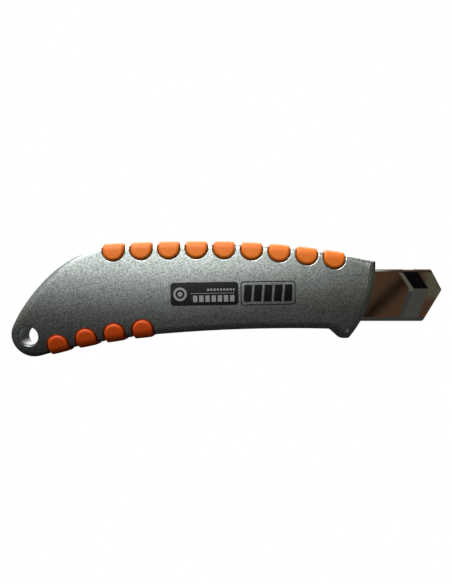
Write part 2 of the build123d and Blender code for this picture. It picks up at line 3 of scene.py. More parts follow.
import bmesh
import bpy
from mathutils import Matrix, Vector


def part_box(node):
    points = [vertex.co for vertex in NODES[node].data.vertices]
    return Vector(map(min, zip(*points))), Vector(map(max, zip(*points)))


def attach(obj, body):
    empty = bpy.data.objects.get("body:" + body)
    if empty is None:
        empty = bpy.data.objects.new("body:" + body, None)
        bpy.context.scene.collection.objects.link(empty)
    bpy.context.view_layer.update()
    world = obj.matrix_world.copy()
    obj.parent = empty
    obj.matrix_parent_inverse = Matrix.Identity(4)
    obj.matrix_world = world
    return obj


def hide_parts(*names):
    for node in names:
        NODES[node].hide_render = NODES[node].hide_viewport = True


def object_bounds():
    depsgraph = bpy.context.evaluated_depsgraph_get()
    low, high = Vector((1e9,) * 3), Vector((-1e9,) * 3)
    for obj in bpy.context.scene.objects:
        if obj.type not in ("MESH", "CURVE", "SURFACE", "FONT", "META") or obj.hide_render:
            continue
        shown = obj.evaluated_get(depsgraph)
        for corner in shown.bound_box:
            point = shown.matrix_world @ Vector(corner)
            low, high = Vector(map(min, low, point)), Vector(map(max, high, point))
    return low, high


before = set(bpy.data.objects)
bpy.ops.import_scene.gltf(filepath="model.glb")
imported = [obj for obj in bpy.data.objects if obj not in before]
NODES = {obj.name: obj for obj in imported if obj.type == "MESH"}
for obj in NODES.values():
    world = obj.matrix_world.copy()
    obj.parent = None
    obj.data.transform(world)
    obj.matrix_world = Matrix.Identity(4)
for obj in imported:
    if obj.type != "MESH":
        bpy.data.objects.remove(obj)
cad_low, cad_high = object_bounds()

MM = 0.001
FLOAT = "NodeSocketFloat"
VECTOR = "NodeSocketVector"
GUIDE_MID_Z = (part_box("blade_guide")[0][2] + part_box("blade_guide")[1][2]) / 2


# ---------------------------------------------------------------- node helpers
MIX_SOCKETS = {"FLOAT": (2, 3, 0), "VECTOR": (4, 5, 1), "RGBA": (6, 7, 2)}


class Tree:
    """Short way to add and link nodes in one node tree."""

    def __init__(self, tree):
        self.tree = tree

    def add(self, kind, inputs=None, **settings):
        """Add a node, set its properties, and link or set its inputs."""
        node = self.tree.nodes.new(kind)
        for name, value in settings.items():
            setattr(node, name, value)
        for key, value in (inputs or {}).items():
            self.put(node.inputs[key], value)
        return node

    def put(self, socket, value):
        """Link a socket to another one, or give it a plain value."""
        if isinstance(value, bpy.types.NodeSocket):
            self.tree.links.new(value, socket)
        else:
            socket.default_value = value

    def math(self, operation, *values):
        """One sum on plain values or sockets."""
        node = self.add("ShaderNodeMath", operation=operation)
        for socket, value in zip(node.inputs, values):
            self.put(socket, value)
        return node.outputs[0]

    def mix(self, factor, low, high, kind="RGBA"):
        """Blend two colours, vectors or values of this kind."""
        first, second, out = MIX_SOCKETS[kind]
        node = self.add("ShaderNodeMix", {0: factor, first: low, second: high}, data_type=kind)
        return node.outputs[out]

    def ramp(self, value, low, high, to_low=0.0, to_high=1.0):
        """Carry a value from one range to another, held at the ends."""
        node = self.add("ShaderNodeMapRange", {0: value, 1: low, 2: high, 3: to_low, 4: to_high})
        return node.outputs[0]

    def split(self, vector):
        """The x, y and z of a vector."""
        return self.add("ShaderNodeSeparateXYZ", {0: vector}).outputs

    def noise(self, vector, scale, detail=2.0, roughness=0.5):
        """Cloudy noise; output 0 is its value."""
        values = {"Vector": vector, "Scale": scale, "Detail": detail, "Roughness": roughness}
        return self.add("ShaderNodeTexNoise", values).outputs


def grey(value):
    """A neutral colour."""
    return (value, value, value, 1.0)


def new_group(name, inputs, outputs):
    """Empty shader node group; inputs are (name, socket kind, default)."""
    tree = bpy.data.node_groups.new(name, "ShaderNodeTree")
    for label, kind, default in inputs:
        socket = tree.interface.new_socket(label, in_out="INPUT", socket_type=kind)
        if default is not None:
            socket.default_value = default
    for label, kind in outputs:
        tree.interface.new_socket(label, in_out="OUTPUT", socket_type=kind)
    start = tree.nodes.new("NodeGroupInput")
    end = tree.nodes.new("NodeGroupOutput")
    return Tree(tree), start.outputs, end.inputs


GLINT_FROM = 0.93


def make_flake_group():
    """Metal flake in paint: each tiny cell has its own brightness, and a few of them glint."""
    t, given, out = new_group(
        "metal_flake",
        [("Vector", VECTOR, None), ("Flake Size", FLOAT, 0.0004), ("Sparkle", FLOAT, 0.5)],
        [("Brightness", FLOAT), ("Glint", FLOAT)],
    )
    scale = t.math("DIVIDE", 1.0, given["Flake Size"])
    cells = t.add("ShaderNodeTexVoronoi", {"Vector": given["Vector"], "Scale": scale})
    channels = t.add("ShaderNodeSeparateColor", {0: cells.outputs["Color"]}).outputs
    t.put(out["Brightness"], t.ramp(channels[0], 0.0, 1.0, -1.0, 1.0))
    glint = t.ramp(channels[1], GLINT_FROM, 1.0)
    t.put(out["Glint"], t.math("MULTIPLY", glint, given["Sparkle"]))
    return t.tree


WEAR_SOFTNESS = 0.06
WEAR_BREAKS = (0.42, 0.62)
SMUDGE_SCALE = 60.0


def make_wear_group():
    """Rubbed edges and faint handling marks: a mask that is 1 on worn convex edges."""
    t, given, out = new_group(
        "edge_wear",
        [("Vector", VECTOR, None), ("Width", FLOAT, 0.55), ("Break Up", FLOAT, 900.0)],
        [("Mask", FLOAT), ("Smudge", FLOAT)],
    )
    edge = t.add("ShaderNodeNewGeometry").outputs["Pointiness"]
    blotch = t.noise(given["Vector"], given["Break Up"], 4.0, 0.6)[0]
    edge_mask = t.ramp(edge, given["Width"], t.math("ADD", given["Width"], WEAR_SOFTNESS))
    t.put(out["Mask"], t.math("MULTIPLY", edge_mask, t.ramp(blotch, *WEAR_BREAKS)))
    t.put(out["Smudge"], t.noise(given["Vector"], SMUDGE_SCALE, 5.0, 0.65)[0])
    return t.tree


def make_lines_group():
    """Fine ground lines that run along X."""
    t, given, out = new_group(
        "ground_lines",
        [("Vector", VECTOR, None), ("Line Width", FLOAT, 0.00012), ("Stretch", FLOAT, 0.02)],
        [("Line", FLOAT)],
    )
    x, y, z = t.split(given["Vector"])
    slow_x = t.math("MULTIPLY", x, given["Stretch"])
    squeezed = t.add("ShaderNodeCombineXYZ", {0: slow_x, 1: y, 2: z}).outputs[0]
    scale = t.math("DIVIDE", 1.0, given["Line Width"])
    t.put(out["Line"], t.noise(squeezed, scale, 3.0, 0.6)[0])
    return t.tree


FLAKE = make_flake_group()
WEAR = make_wear_group()
LINES = make_lines_group()


def new_material(name):
    """Material with one Principled shader; returns it, its tree, the shader and Object coordinates."""
    material = bpy.data.materials.new(name)
    material.use_nodes = True
    material.node_tree.nodes.clear()
    t = Tree(material.node_tree)
    shader = t.add("ShaderNodeBsdfPrincipled")
    t.add("ShaderNodeOutputMaterial", {0: shader.outputs[0]})
    place = t.add("ShaderNodeTexCoord").outputs["Object"]
    return material, t, shader, place


def use_group(t, group, inputs):
    """Place a shared group in a material, with this material's values."""
    node = t.add("ShaderNodeGroup", node_tree=group)
    for name, value in inputs.items():
        t.put(node.inputs[name], value)
    return node.outputs


def bump(t, height, distance, strength, normal=None):
    """Normal of a fine relief, laid over another normal where one is given."""
    inputs = {"Strength": strength, "Distance": distance, "Height": height}
    if normal is not None:
        inputs["Normal"] = normal
    return t.add("ShaderNodeBump", inputs).outputs[0]


# ---------------------------------------------------------------- label geometry as masks
PLATE = {"middle": (0.0661, 0.0159), "half": (0.01265, 0.00435), "corner": 0.0013}
FRAME = {"middle": (0.0898, 0.0162), "half": (0.0101, 0.0043), "corner": 0.0012}
LABEL_TILT = radians(1.0)
BLOCK_COUNT = 5
BLOCK_PITCH = 0.0038
BLOCK_WIDTH = 0.0030
BLOCK_SLANT = 0.10
BLOCK_FIELD = (BLOCK_PITCH * BLOCK_COUNT / 2 - 0.0004, 0.0032)
OUTLINE_HALF_WIDTH = 0.00020
EMBLEM = {"left": -0.0091, "ring": 0.0021, "ring half width": 0.00042, "dot": 0.0009}
RULE = {"middle": (0.0030, 0.0002), "half": (0.0082, 0.00009), "corner": 0.00005}
LOW_BARS = {"across": (-0.0050, 0.0112), "height": (-0.0030, -0.0006), "pitch": 0.0023, "width": 0.0016}
FINE_BARS = {"across": (0.0006, 0.0112), "height": (0.0011, 0.0019), "pitch": 0.0012, "width": 0.0008}
BAR_CORNER = 0.0001


def box_distance(t, u, v, half, corner):
    """Signed distance from a rounded box in the plane (u, v)."""
    du = t.math("SUBTRACT", t.math("ABSOLUTE", u), half[0] - corner)
    dv = t.math("SUBTRACT", t.math("ABSOLUTE", v), half[1] - corner)
    outside = t.add("ShaderNodeCombineXYZ", {0: t.math("MAXIMUM", du, 0.0), 1: t.math("MAXIMUM", dv, 0.0)})
    length = t.add("ShaderNodeVectorMath", {0: outside.outputs[0]}, operation="LENGTH").outputs["Value"]
    inside = t.math("MINIMUM", t.math("MAXIMUM", du, dv), 0.0)
    return t.math("SUBTRACT", t.math("ADD", length, inside), corner)


def solid_mask(t, distance, soft=0.00004):
    """1 inside a shape, 0 outside, with a crisp printed edge."""
    return t.ramp(distance, -soft, soft, 1.0, 0.0)


def label_place(t, place, spec):
    """Coordinates about the middle of a printed shape, turned with the label."""
    x, y, z = t.split(place)
    dx = t.math("SUBTRACT", x, spec["middle"][0])
    dz = t.math("SUBTRACT", z, spec["middle"][1])
    u = t.math("ADD", t.math("MULTIPLY", dx, cos(LABEL_TILT)), t.math("MULTIPLY", dz, sin(LABEL_TILT)))
    v = t.math("SUBTRACT", t.math("MULTIPLY", dz, cos(LABEL_TILT)), t.math("MULTIPLY", dx, sin(LABEL_TILT)))
    return u, v


def bar_row(t, u, v, row):
    """A row of plain upright bars between two places, all of one height (low, high)."""
    left, right = row["across"]
    low, high = row["height"]
    pitch, width = row["pitch"], row["width"]
    along = t.math("ADD", t.math("SUBTRACT", u, left), pitch * 8 + width / 2)
    bars = solid_mask(t, t.math("SUBTRACT", t.math("PINGPONG", along, pitch / 2), width / 2))
    du = t.math("SUBTRACT", u, (left + right) / 2)
    dv = t.math("SUBTRACT", v, (low + high) / 2)
    field = box_distance(t, du, dv, ((right - left) / 2, (high - low) / 2), BAR_CORNER)
    return t.math("MULTIPLY", bars, solid_mask(t, field))


def print_masks(t, place):
    """Masks of the black print and of the pale marks left open in it."""
    u, v = label_place(t, place, PLATE)
    plate = solid_mask(t, box_distance(t, u, v, PLATE["half"], PLATE["corner"]))
    disc_u = t.math("SUBTRACT", u, EMBLEM["left"])
    radius = t.math("SQRT", t.math("ADD", t.math("MULTIPLY", disc_u, disc_u), t.math("MULTIPLY", v, v)))
    off_ring = t.math("ABSOLUTE", t.math("SUBTRACT", radius, EMBLEM["ring"]))
    ring = solid_mask(t, t.math("SUBTRACT", off_ring, EMBLEM["ring half width"]))
    dot = solid_mask(t, t.math("SUBTRACT", radius, EMBLEM["dot"]))
    rule_u = t.math("SUBTRACT", u, RULE["middle"][0])
    rule_v = t.math("SUBTRACT", v, RULE["middle"][1])
    rule = solid_mask(t, box_distance(t, rule_u, rule_v, RULE["half"], RULE["corner"]))
    low_bars = bar_row(t, u, v, LOW_BARS)
    fine_bars = bar_row(t, u, v, FINE_BARS)
    pale = t.math("MAXIMUM", t.math("MAXIMUM", ring, dot), t.math("MAXIMUM", rule, low_bars))
    pale = t.math("MAXIMUM", pale, fine_bars)
    u, v = label_place(t, place, FRAME)
    outline = t.math("ABSOLUTE", box_distance(t, u, v, FRAME["half"], FRAME["corner"]))
    outline = solid_mask(t, t.math("SUBTRACT", outline, OUTLINE_HALF_WIDTH))
    slanted = t.math("SUBTRACT", u, t.math("MULTIPLY", v, BLOCK_SLANT))
    step = t.math("PINGPONG", t.math("ADD", slanted, BLOCK_PITCH * 20), BLOCK_PITCH / 2)
    block = solid_mask(t, t.math("SUBTRACT", step, BLOCK_WIDTH / 2))
    field = solid_mask(t, box_distance(t, u, v, BLOCK_FIELD, BAR_CORNER))
    black = t.math("MAXIMUM", outline, t.math("MULTIPLY", block, field))
    return t.math("MAXIMUM", black, plate), t.math("MULTIPLY", pale, plate)


# ---------------------------------------------------------------- materials
ENAMEL_GREY = (0.395, 0.432, 0.410)
COARSE_FLAKE = {"Flake Size": 0.00046, "Sparkle": 0.5}
FINE_FLAKE = {"Flake Size": 0.00028, "Sparkle": 0.6}
COARSE_TONE = 0.12
FINE_TONE = 0.46
GLINT_TONE = 0.5
FLAKE_RELIEF = 0.000012
PEEL_SCALE = 700.0
PEEL_RELIEF = 0.00003
ENAMEL_ROUGHNESS = (0.30, 0.36)
CLEAR_COAT = 0.12
CLEAR_COAT_ROUGHNESS = 0.22
BARE_METAL = grey(0.62)
SEAM_HALF_WIDTH = 0.00005
SEAM_RELIEF = 0.00008
SEAM_COLOUR = grey(0.05)
PRINT_BLACK = grey(0.003)
PRINT_PALE = grey(0.34)
PRINT_ROUGHNESS = 0.20
RIGHT_FACE_Y = -0.005


def metallic_enamel(name, printed):
    """Silver-grey metallic enamel with fine flake; the right shell also carries the print."""
    material, t, shader, place = new_material(name)
    flake = use_group(t, FLAKE, dict(COARSE_FLAKE, Vector=place))
    fine = use_group(t, FLAKE, dict(FINE_FLAKE, Vector=place))
    wear = use_group(t, WEAR, {"Vector": place, "Width": 0.56})
    tone = t.math("ADD", t.math("MULTIPLY", flake["Brightness"], COARSE_TONE),
                  t.math("MULTIPLY", fine["Brightness"], FINE_TONE))
    tone = t.math("ADD", t.math("ADD", tone, 1.0), t.math("MULTIPLY", flake["Glint"], GLINT_TONE))
    base = t.add("ShaderNodeVectorMath", {0: ENAMEL_GREY, "Scale": tone}, operation="SCALE").outputs[0]
    base = t.mix(wear["Mask"], base, BARE_METAL)
    across = t.math("ABSOLUTE", t.split(place)[1])
    seam = t.ramp(across, SEAM_HALF_WIDTH, SEAM_HALF_WIDTH * 3, 1.0, 0.0)
    base = t.mix(t.math("MULTIPLY", seam, 0.8), base, SEAM_COLOUR)
    roughness = t.ramp(wear["Smudge"], 0.3, 0.7, *ENAMEL_ROUGHNESS)
    metallic = t.math("SUBTRACT", 1.0, t.math("MULTIPLY", wear["Mask"], 0.1))
    if printed:
        black, pale = print_masks(t, place)
        outside = t.math("LESS_THAN", t.split(place)[1], RIGHT_FACE_Y)
        black = t.math("MULTIPLY", black, outside)
        pale = t.math("MULTIPLY", pale, outside)
        base = t.mix(black, base, PRINT_BLACK)
        base = t.mix(pale, base, PRINT_PALE)
        roughness = t.mix(black, roughness, PRINT_ROUGHNESS, kind="FLOAT")
        dull = t.math("MULTIPLY", black, CLEAR_COAT)
        t.put(shader.inputs["Coat Weight"], t.math("SUBTRACT", CLEAR_COAT, dull))
        metallic = t.math("MULTIPLY", metallic, t.math("SUBTRACT", 1.0, black))
    else:
        shader.inputs["Coat Weight"].default_value = CLEAR_COAT
    t.put(shader.inputs["Base Color"], base)
    t.put(shader.inputs["Roughness"], roughness)
    t.put(shader.inputs["Metallic"], metallic)
    shader.inputs["Coat Roughness"].default_value = CLEAR_COAT_ROUGHNESS
    grain = bump(t, flake["Brightness"], FLAKE_RELIEF, 0.5)
    orange_peel = t.noise(place, PEEL_SCALE, 2.0, 0.5)[0]
    peel = bump(t, orange_peel, PEEL_RELIEF, 0.5, grain)
    t.put(shader.inputs["Normal"], bump(t, t.math("SUBTRACT", 1.0, seam), SEAM_RELIEF, 0.6, peel))
    return material


RUBBER_PATCH_SCALE = 120.0
RUBBER_GRAIN_SCALE = 5200.0
RUBBER_GRAIN_RELIEF = 0.00004
RUBBER_ROUGHNESS = (0.42, 0.50)
RUBBER_SPECULAR = 0.30
RUBBER_RUBBED = (1.0, 0.62, 0.35, 1.0)


def soft_rubber(name, colour, deep):
    """Matte moulded rubber: fine spark-eroded grain, slightly darker and rougher in patches."""
    material, t, shader, place = new_material(name)
    patches = t.noise(place, RUBBER_PATCH_SCALE, 4.0, 0.6)[0]
    base = t.mix(t.ramp(patches, 0.3, 0.75), colour, deep)
    wear = use_group(t, WEAR, {"Vector": place, "Width": 0.57, "Break Up": 1400.0})
    base = t.mix(t.math("MULTIPLY", wear["Mask"], 0.25), base, RUBBER_RUBBED)
    t.put(shader.inputs["Base Color"], base)
    t.put(shader.inputs["Roughness"], t.ramp(patches, 0.3, 0.7, *RUBBER_ROUGHNESS))
    shader.inputs["Specular IOR Level"].default_value = RUBBER_SPECULAR
    grain = t.noise(place, RUBBER_GRAIN_SCALE, 3.0, 0.6)[0]
    t.put(shader.inputs["Normal"], bump(t, grain, RUBBER_GRAIN_RELIEF, 0.55))
    return material


SHEET_COLOURS = ((0.60, 0.59, 0.56, 1), (0.70, 0.69, 0.66, 1))
SHEET_LINE_WIDTH = 0.0002
SHEET_LINE_RELIEF = 0.000001
SHEET_ROUGHNESS = (0.02, 0.04)
SHEET_LINE_ROUGHNESS = 0.015


def bright_sheet(name):
    """Polished stainless sheet with faint rolling lines."""
    material, t, shader, place = new_material(name)
    lines = use_group(t, LINES, {"Vector": place, "Line Width": SHEET_LINE_WIDTH})["Line"]
    smudge = use_group(t, WEAR, {"Vector": place})["Smudge"]
    t.put(shader.inputs["Base Color"], t.mix(smudge, *SHEET_COLOURS))
    rough = t.math("ADD", t.ramp(smudge, 0.35, 0.7, *SHEET_ROUGHNESS),
                   t.math("MULTIPLY", lines, SHEET_LINE_ROUGHNESS))
    t.put(shader.inputs["Roughness"], rough)
    shader.inputs["Metallic"].default_value = 1.0
    t.put(shader.inputs["Normal"], bump(t, lines, SHEET_LINE_RELIEF, 0.12))
    return material


GROUND_LINE_RELIEF = 0.000006
GROUND_LINE_SHADE = 0.8


def ground_steel(name, colour, rough, line_width=0.00012):
    """Ground or turned steel with fine lines."""
    material, t, shader, place = new_material(name)
    lines = use_group(t, LINES, {"Vector": place, "Line Width": line_width})["Line"]
    smudge = use_group(t, WEAR, {"Vector": place})["Smudge"]
    shade = t.mix(lines, tuple(c * GROUND_LINE_SHADE for c in colour[:3]) + (1,), colour)
    t.put(shader.inputs["Base Color"], shade)
    marks = t.math("ADD", lines, smudge)
    t.put(shader.inputs["Roughness"], t.ramp(marks, 0.6, 1.4, rough - 0.06, rough + 0.1))
    shader.inputs["Metallic"].default_value = 1.0
    t.put(shader.inputs["Normal"], bump(t, lines, GROUND_LINE_RELIEF, 0.4))
    return material


PLASTIC_GRAIN_SCALE = 2600.0
PLASTIC_GRAIN_RELIEF = 0.00003
PLASTIC_ROUGHNESS = (0.42, 0.56)
PLASTIC_RUBBED = grey(0.12)
PLASTIC_SMUDGED = grey(0.03)


def moulded_plastic(name, colour):
    """Black moulded plastic with a fine leathery grain."""
    material, t, shader, place = new_material(name)
    cells = t.add("ShaderNodeTexVoronoi", {"Vector": place, "Scale": PLASTIC_GRAIN_SCALE},
                  feature="SMOOTH_F1")
    wear = use_group(t, WEAR, {"Vector": place, "Width": 0.56})
    base = t.mix(t.math("MULTIPLY", wear["Mask"], 0.4), colour, PLASTIC_RUBBED)
    t.put(shader.inputs["Base Color"], t.mix(wear["Smudge"], base, PLASTIC_SMUDGED))
    t.put(shader.inputs["Roughness"], t.ramp(wear["Smudge"], 0.3, 0.7, *PLASTIC_ROUGHNESS))
    t.put(shader.inputs["Normal"], bump(t, cells.outputs[0], PLASTIC_GRAIN_RELIEF, 0.5))
    return material


def studio_white(name, seen, bounce):
    """Floor that looks white to the camera and gives little light back."""
    material, t, shader = new_material(name)[:3]
    path = t.add("ShaderNodeLightPath").outputs["Is Camera Ray"]
    glow = t.add("ShaderNodeEmission", {"Color": grey(seen)})
    dim = t.add("ShaderNodeBsdfDiffuse", {"Color": grey(bounce)})
    both = t.add("ShaderNodeMixShader", {0: path, 1: dim.outputs[0], 2: glow.outputs[0]})
    output = [n for n in t.tree.nodes if n.type == "OUTPUT_MATERIAL"][0]
    t.put(output.inputs[0], both.outputs[0])
    t.tree.nodes.remove(shader)
    return material


PAINT = metallic_enamel("silver_enamel", False)
PAINT_PRINTED = metallic_enamel("silver_enamel_printed", True)
# Lit and shaded copies of one orange rubber: the lighter, yellower copy for the top pads and the button pad
# is painted light; the darker, redder copy for the lower pads is painted shade.
LIT_RUBBER = soft_rubber("orange_rubber_painted_light", (0.84, 0.200, 0.012, 1), (0.78, 0.165, 0.009, 1))
SHADED_RUBBER = soft_rubber("orange_rubber_painted_shade", (0.72, 0.088, 0.005, 1), (0.66, 0.072, 0.004, 1))
SHEET_STEEL = bright_sheet("polished_sheet")
BLADE_STEEL = ground_steel("blade_steel", (0.50, 0.51, 0.53, 1), 0.26)
ZINC = ground_steel("zinc_plate", (0.66, 0.65, 0.60, 1), 0.32, 0.0003)
SPRING_STEEL = ground_steel("spring_steel", (0.42, 0.42, 0.44, 1), 0.28)
PLASTIC = moulded_plastic("black_plastic", grey(0.012))
BLACK_OXIDE = ground_steel("black_oxide", (0.05, 0.05, 0.055, 1), 0.38)

FINISH = {
    # top_grip and button_pad take the lighter rubber copy (painted light); bottom_grip takes the darker,
    # redder copy (painted shade).
    "right_shell": PAINT_PRINTED, "left_shell": PAINT, "top_grip": LIT_RUBBER, "bottom_grip": SHADED_RUBBER,
    "blade_guide": SHEET_STEEL, "snap_blade": BLADE_STEEL, "blade_carrier": ZINC, "blade_stud": ZINC,
    "slide_saddle": PLASTIC, "saddle_screws": ZINC, "thumb_button": PLASTIC, "button_pad": LIT_RUBBER,
    "button_spring": SPRING_STEEL, "button_pins": ZINC, "lock_pawl": SPRING_STEEL,
    "pawl_pivot_pin": ZINC, "pawl_spring": SPRING_STEEL, "shell_screws": BLACK_OXIDE,
    "dowel_pins": ZINC, "guide_pins": ZINC,
}


def finish_nodes():
    """Give every carried-over piece its own finish."""
    for name, material in FINISH.items():
        mesh = NODES[name].data
        mesh.materials.clear()
        mesh.materials.append(material)


finish_nodes()


# ---------------------------------------------------------------- rubber grip pads
PAD = {
    "Width": 7.9 * MM, "Depth": 6.0 * MM, "Proud": 0.8 * MM, "Side Width": 0.95 * MM,
    "Side Foot": -0.35 * MM, "Root": 2.8 * MM, "Dome": 0.05 * MM, "Body Edge Radius": 3.0 * MM,
}
CROWN = {"Half Thickness": 9.0 * MM, "Crown Radius": 64.0 * MM, "Crown Height": 16.0 * MM,
         "Taper Start": 57.5 * MM, "Taper Radius": 1195.0 * MM}
SPINE_ARCS = {"Apex X": 66.0 * MM, "Rear Centre": (66.0 * MM, 0, -617.28 * MM), "Rear Radius": 652.43 * MM,
              "Front Centre": (66.0 * MM, 0, -287.73 * MM), "Front Radius": 322.88 * MM}
BELLY_CENTRE = (69.30 * MM, 0, -237.39 * MM)
# The top row wears the lighter rubber copy (painted light); the lower row wears the darker, redder copy
# (painted shade).
TOP_ROW = {"Count": 9, "First X": 31.65 * MM, "Pitch": 10.45 * MM, "Below": 0, "Finish": LIT_RUBBER}
LOW_ROW = {"Count": 4, "First X": 11.3 * MM, "Pitch": 10.6 * MM, "Below": 1, "Finish": SHADED_RUBBER,
           "Width": 7.3 * MM, "Rear Centre": BELLY_CENTRE, "Rear Radius": 238.95 * MM}
PAD_SIDE_STEPS = 40
PAD_END_STEPS = 24
ROOT_ROWS = 2
WALL_ROWS = 3
SHOULDER_ROWS = 11
PAD_ROWS = 17
PAD_WELD = 0.002 * MM


def start_geometry_tree(name, inputs):
    """Geometry Nodes tree with named inputs and one geometry output."""
    tree = bpy.data.node_groups.new(name, "GeometryNodeTree")
    tree.interface.new_socket("Geometry", in_out="OUTPUT", socket_type="NodeSocketGeometry")
    for label, value in inputs.items():
        kind = VECTOR if isinstance(value, tuple) else FLOAT
        kind = "NodeSocketInt" if isinstance(value, int) else kind
        kind = "NodeSocketMaterial" if isinstance(value, bpy.types.Material) else kind
        tree.interface.new_socket(label, in_out="INPUT", socket_type=kind)
    given = tree.nodes.new("NodeGroupInput").outputs
    end = tree.nodes.new("NodeGroupOutput").inputs
    return Tree(tree), given, end


def finish_geometry_tree(t, given, end, geometry):
    """Every tree ends in plain mesh data with its finish set."""
    real = t.add("GeometryNodeRealizeInstances", {0: geometry}).outputs[0]
    done = t.add("GeometryNodeSetMaterial", {"Geometry": real, "Material": given["Finish"]}).outputs[0]
    t.put(end[0], done)
    return t.tree


def run_geometry_tree(name, tree, values):
    """Evaluate a tree with these values and return the result as one plain mesh object."""
    holder = bpy.data.objects.new(name + "_maker", bpy.data.meshes.new(name + "_maker"))
    bpy.context.collection.objects.link(holder)
    modifier = holder.modifiers.new("maker", "NODES")
    modifier.node_group = tree
    for item in tree.interface.items_tree:
        if item.item_type == "SOCKET" and item.in_out == "INPUT":
            modifier[item.identifier] = values[item.name]
    ready = holder.evaluated_get(bpy.context.evaluated_depsgraph_get())
    mesh = bpy.data.meshes.new_from_object(ready)
    bpy.data.objects.remove(holder)
    mesh.name = name
    piece = bpy.data.objects.new(name, mesh)
    bpy.context.collection.objects.link(piece)
    return piece


def make_pad_tree():
    """Pads in a row along an arc, each wrapped from one side face over the back to the other."""
    names = dict(PAD, **CROWN, **SPINE_ARCS, **TOP_ROW)
    t, given, end = start_geometry_tree("grip_pad_row", names)
    m = t.math
    around = 2 * (PAD_SIDE_STEPS + PAD_END_STEPS)
    grid = t.add("GeometryNodeMeshGrid", {"Size X": 1.0, "Size Y": 1.0, "Vertices X": around + 1,
                                          "Vertices Y": PAD_ROWS + 1}).outputs[0]
    one_pad = t.add("GeometryNodeGeometryToInstance", {0: grid}).outputs[0]
    copies = t.add("GeometryNodeDuplicateElements", {"Geometry": one_pad, "Amount": given["Count"]},
                   domain="INSTANCE")
    kept = t.add("GeometryNodeStoreNamedAttribute", {
        "Geometry": copies.outputs["Geometry"], "Name": "pad", "Value": copies.outputs["Duplicate Index"],
    }, data_type="FLOAT", domain="INSTANCE").outputs[0]
    flat = t.add("GeometryNodeRealizeInstances", {0: kept}).outputs[0]
    index = t.add("GeometryNodeInputNamedAttribute", {"Name": "pad"}, data_type="FLOAT").outputs[0]
    gx, gy, _ = t.split(t.add("GeometryNodeInputPosition").outputs[0])
    step = m("MULTIPLY", m("ADD", gx, 0.5), around)
    row = m("MULTIPLY", m("ADD", gy, 0.5), PAD_ROWS)

    # place of each pad on its arc
    x0 = m("ADD", given["First X"], m("MULTIPLY", index, given["Pitch"]))
    is_rear = m("LESS_THAN", x0, given["Apex X"])
    centre = t.mix(is_rear, given["Front Centre"], given["Rear Centre"], kind="VECTOR")
    arc_radius = t.mix(is_rear, given["Front Radius"], given["Rear Radius"], kind="FLOAT")
    cx, _, cz = t.split(centre)
    lean = m("ARCSINE", m("DIVIDE", m("SUBTRACT", x0, cx), arc_radius))
    z0 = m("ADD", cz, m("MULTIPLY", arc_radius, m("COSINE", lean)))
    flip = m("SUBTRACT", 1.0, m("MULTIPLY", given["Below"], 2.0))

    # cross-section of the pad: row 0 is the middle of its root, the last row the middle of its top
    radius = m("MULTIPLY", given["Width"], 0.5)
    out_along_root = t.ramp(row, 0, ROOT_ROWS)
    up_wall = t.ramp(row, ROOT_ROWS, WALL_ROWS)
    turn = t.ramp(row, WALL_ROWS, SHOULDER_ROWS, 0.0, pi / 2)
    across_top = t.ramp(row, SHOULDER_ROWS, PAD_ROWS)
    inset = m("MULTIPLY", radius, m("SUBTRACT", 1.0, out_along_root))
    inset = m("ADD", inset, m("MULTIPLY", given["Side Width"], m("SUBTRACT", 1.0, m("COSINE", turn))))
    rest = m("SUBTRACT", radius, given["Side Width"])
    inset = m("ADD", inset, m("MULTIPLY", rest, across_top))
    height = m("MULTIPLY", m("ADD", given["Root"], given["Side Foot"]), up_wall)
    height = m("SUBTRACT", height, given["Root"])
    rise = m("SUBTRACT", given["Proud"], given["Side Foot"])
    height = m("ADD", height, m("MULTIPLY", rise, m("SINE", turn)))
    left_over = m("SUBTRACT", 1.0, across_top)
    dome = m("SUBTRACT", 1.0, m("MULTIPLY", left_over, left_over))
    dome = m("MULTIPLY", dome, t.ramp(row, SHOULDER_ROWS, SHOULDER_ROWS + 1))
    height = m("ADD", height, m("MULTIPLY", given["Dome"], dome))

    # the body's own section at this pad
    edge = given["Body Edge Radius"]
    off_crown = m("SUBTRACT", m("MULTIPLY", m("SUBTRACT", z0, given["Crown Height"]), flip), edge)
    tilt = m("ARCTANGENT", m("DIVIDE", off_crown, given["Crown Radius"]))
    sag = m("DIVIDE", m("MULTIPLY", off_crown, off_crown), m("MULTIPLY", given["Crown Radius"], 2.0))
    side = m("SUBTRACT", m("SUBTRACT", given["Half Thickness"], sag), m("DIVIDE", edge, m("COSINE", tilt)))

    def taper(x):
        past = m("MAXIMUM", 0.0, m("SUBTRACT", x, given["Taper Start"]))
        return m("DIVIDE", m("MULTIPLY", past, past), m("MULTIPLY", given["Taper Radius"], 2.0))

    side_here = m("SUBTRACT", side, taper(x0))
    arc_end = m("SUBTRACT", pi / 2, tilt)
    arc_length = m("MULTIPLY", edge, arc_end)
    arc_depth = m("MULTIPLY", edge, m("SUBTRACT", 1.0, m("SINE", tilt)))
    face_length = m("DIVIDE", m("SUBTRACT", given["Depth"], arc_depth), m("COSINE", tilt))
    reach = m("ADD", m("ADD", side_here, arc_length), face_length)
    run = m("SUBTRACT", reach, radius)

    # where this point lies on the unrolled pad
    ends = PAD_SIDE_STEPS + PAD_END_STEPS
    out_and_back = m("SUBTRACT", t.ramp(step, 0, PAD_SIDE_STEPS, 0, 2),
                     t.ramp(step, ends, ends + PAD_SIDE_STEPS, 0, 2))
    along = m("MULTIPLY", run, m("SUBTRACT", out_and_back, 1.0))
    heading = m("ADD", t.ramp(step, PAD_SIDE_STEPS, ends, 0, pi),
                t.ramp(step, ends + PAD_SIDE_STEPS, around, 0, pi))
    heading = m("SUBTRACT", pi / 2, heading)
    arm = m("SUBTRACT", radius, inset)
    along = m("ADD", along, m("MULTIPLY", arm, m("COSINE", heading)))
    across = m("MULTIPLY", arm, m("SINE", heading))

